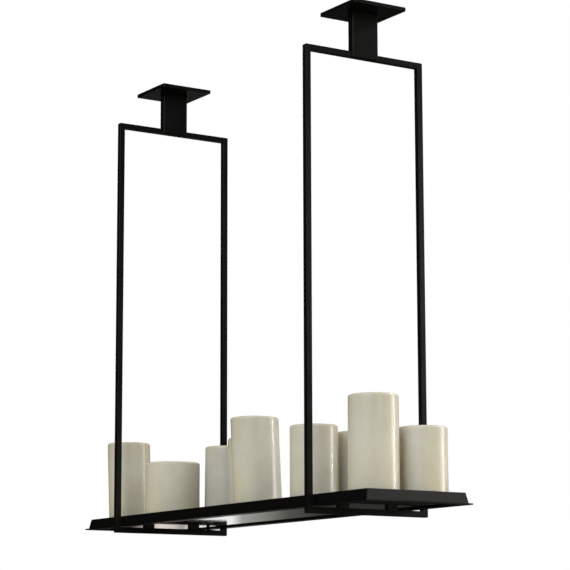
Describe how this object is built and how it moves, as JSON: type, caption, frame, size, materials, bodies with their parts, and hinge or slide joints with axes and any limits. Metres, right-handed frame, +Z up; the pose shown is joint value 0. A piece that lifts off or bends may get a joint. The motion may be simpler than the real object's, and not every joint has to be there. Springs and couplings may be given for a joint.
{
  "type": "linear island pendant",
  "caption": "Long shallow tray of ivory pillar-candle shades, held by tall rectangular hoops below square ceiling canopies.",
  "frame": {"origin": "in the ceiling plane, centre of the rectangle of the ceiling screws, midway between the hoops", "axes": "+X along the tray, +Y across it, +Z up into the ceiling"},
  "size_m": [1.165, 0.2968, 1.07],
  "materials": {
    "black_metal": "satin black powder coat",
    "bright_plate": "polished stainless steel",
    "zinc_steel": "zinc plated",
    "black_screws": "black oxide",
    "gallery_metal": "satin black",
    "holder_ceramic": "white glazed ceramic",
    "lamp_glass": "frosted",
    "ivory_shade": "ivory, translucent, satin",
    "terminal_plastic": "moulded",
    "cable_sheath": "black sheath",
    "lead_sheath": "white silicone sheath"
  },
  "bodies": {
    "pendant_frame": {"stem_left": "black_metal", "stem_right": "black_metal", "hoop_left": "black_metal", "hoop_right": "black_metal", "tray_rim": "black_metal", "tray_deck": "black_metal", "mirror_plate": "bright_plate", "ceiling_bracket_left": "zinc_steel", "ceiling_bracket_right": "zinc_steel", "stem_head_left": "zinc_steel", "stem_head_right": "zinc_steel", "stem_foot_left": "zinc_steel", "stem_foot_right": "zinc_steel", "cross_member_left": "zinc_steel", "cross_member_right": "zinc_steel", "lock_nuts": "zinc_steel", "holder_nuts": "zinc_steel", "hanger_nipples": "zinc_steel", "stem_screws": "black_screws", "tray_screws": "black_screws", "deck_screws": "black_screws", "saddle_blocks": "black_screws", "cable_ferrule": "black_screws", "shade_galleries": "gallery_metal", "terminal_block": "terminal_plastic", "supply_cable": "cable_sheath", "lamp_leads": "lead_sheath", "lamp_holder_1": "holder_ceramic", "lamp_holder_2": "holder_ceramic", "lamp_holder_3": "holder_ceramic", "lamp_holder_4": "holder_ceramic", "lamp_holder_5": "holder_ceramic", "lamp_holder_6": "holder_ceramic", "lamp_holder_7": "holder_ceramic", "lamp_holder_8": "holder_ceramic", "lamp_holder_9": "holder_ceramic"},
    "canopy_left": {"canopy_left": "black_metal"},
    "canopy_right": {"canopy_right": "black_metal"},
    "shade_1": {"shade_1": "ivory_shade"},
    "shade_2": {"shade_2": "ivory_shade"},
    "shade_3": {"shade_3": "ivory_shade"},
    "shade_4": {"shade_4": "ivory_shade"},
    "shade_5": {"shade_5": "ivory_shade"},
    "shade_6": {"shade_6": "ivory_shade"},
    "shade_7": {"shade_7": "ivory_shade"},
    "shade_8": {"shade_8": "ivory_shade"},
    "shade_9": {"shade_9": "ivory_shade"},
    "lamp_1": {"lamp_1": "lamp_glass"},
    "lamp_2": {"lamp_2": "lamp_glass"},
    "lamp_3": {"lamp_3": "lamp_glass"},
    "lamp_4": {"lamp_4": "lamp_glass"},
    "lamp_5": {"lamp_5": "lamp_glass"},
    "lamp_6": {"lamp_6": "lamp_glass"},
    "lamp_7": {"lamp_7": "lamp_glass"},
    "lamp_8": {"lamp_8": "lamp_glass"},
    "lamp_9": {"lamp_9": "lamp_glass"}
  },
  "joints": [
    {"name": "canopy_left_drop", "type": "slide", "parent": "pendant_frame", "child": "canopy_left", "axis": [0, 0, -1], "range_m": [0, 0.085]},
    {"name": "canopy_right_drop", "type": "slide", "parent": "pendant_frame", "child": "canopy_right", "axis": [0, 0, -1], "range_m": [0, 0.085]},
    {"name": "shade_1_lift", "type": "slide", "parent": "pendant_frame", "child": "shade_1", "axis": [0, 0, 1], "range_m": [0, 0.12]},
    {"name": "shade_2_lift", "type": "slide", "parent": "pendant_frame", "child": "shade_2", "axis": [0, 0, 1], "range_m": [0, 0.12]},
    {"name": "shade_3_lift", "type": "slide", "parent": "pendant_frame", "child": "shade_3", "axis": [0, 0, 1], "range_m": [0, 0.12]},
    {"name": "shade_4_lift", "type": "slide", "parent": "pendant_frame", "child": "shade_4", "axis": [0, 0, 1], "range_m": [0, 0.12]},
    {"name": "shade_5_lift", "type": "slide", "parent": "pendant_frame", "child": "shade_5", "axis": [0, 0, 1], "range_m": [0, 0.12]},
    {"name": "shade_6_lift", "type": "slide", "parent": "pendant_frame", "child": "shade_6", "axis": [0, 0, 1], "range_m": [0, 0.12]},
    {"name": "shade_7_lift", "type": "slide", "parent": "pendant_frame", "child": "shade_7", "axis": [0, 0, 1], "range_m": [0, 0.12]},
    {"name": "shade_8_lift", "type": "slide", "parent": "pendant_frame", "child": "shade_8", "axis": [0, 0, 1], "range_m": [0, 0.12]},
    {"name": "shade_9_lift", "type": "slide", "parent": "pendant_frame", "child": "shade_9", "axis": [0, 0, 1], "range_m": [0, 0.12]},
    {"name": "lamp_1_pull", "type": "slide", "parent": "pendant_frame", "child": "lamp_1", "axis": [0, 0, 1], "range_m": [0, 0.014]},
    {"name": "lamp_2_pull", "type": "slide", "parent": "pendant_frame", "child": "lamp_2", "axis": [0, 0, 1], "range_m": [0, 0.014]},
    {"name": "lamp_3_pull", "type": "slide", "parent": "pendant_frame", "child": "lamp_3", "axis": [0, 0, 1], "range_m": [0, 0.014]},
    {"name": "lamp_4_pull", "type": "slide", "parent": "pendant_frame", "child": "lamp_4", "axis": [0, 0, 1], "range_m": [0, 0.014]},
    {"name": "lamp_5_pull", "type": "slide", "parent": "pendant_frame", "child": "lamp_5", "axis": [0, 0, 1], "range_m": [0, 0.014]},
    {"name": "lamp_6_pull", "type": "slide", "parent": "pendant_frame", "child": "lamp_6", "axis": [0, 0, 1], "range_m": [0, 0.014]},
    {"name": "lamp_7_pull", "type": "slide", "parent": "pendant_frame", "child": "lamp_7", "axis": [0, 0, 1], "range_m": [0, 0.014]},
    {"name": "lamp_8_pull", "type": "slide", "parent": "pendant_frame", "child": "lamp_8", "axis": [0, 0, 1], "range_m": [0, 0.014]},
    {"name": "lamp_9_pull", "type": "slide", "parent": "pendant_frame", "child": "lamp_9", "axis": [0, 0, 1], "range_m": [0, 0.014]}
  ]
}
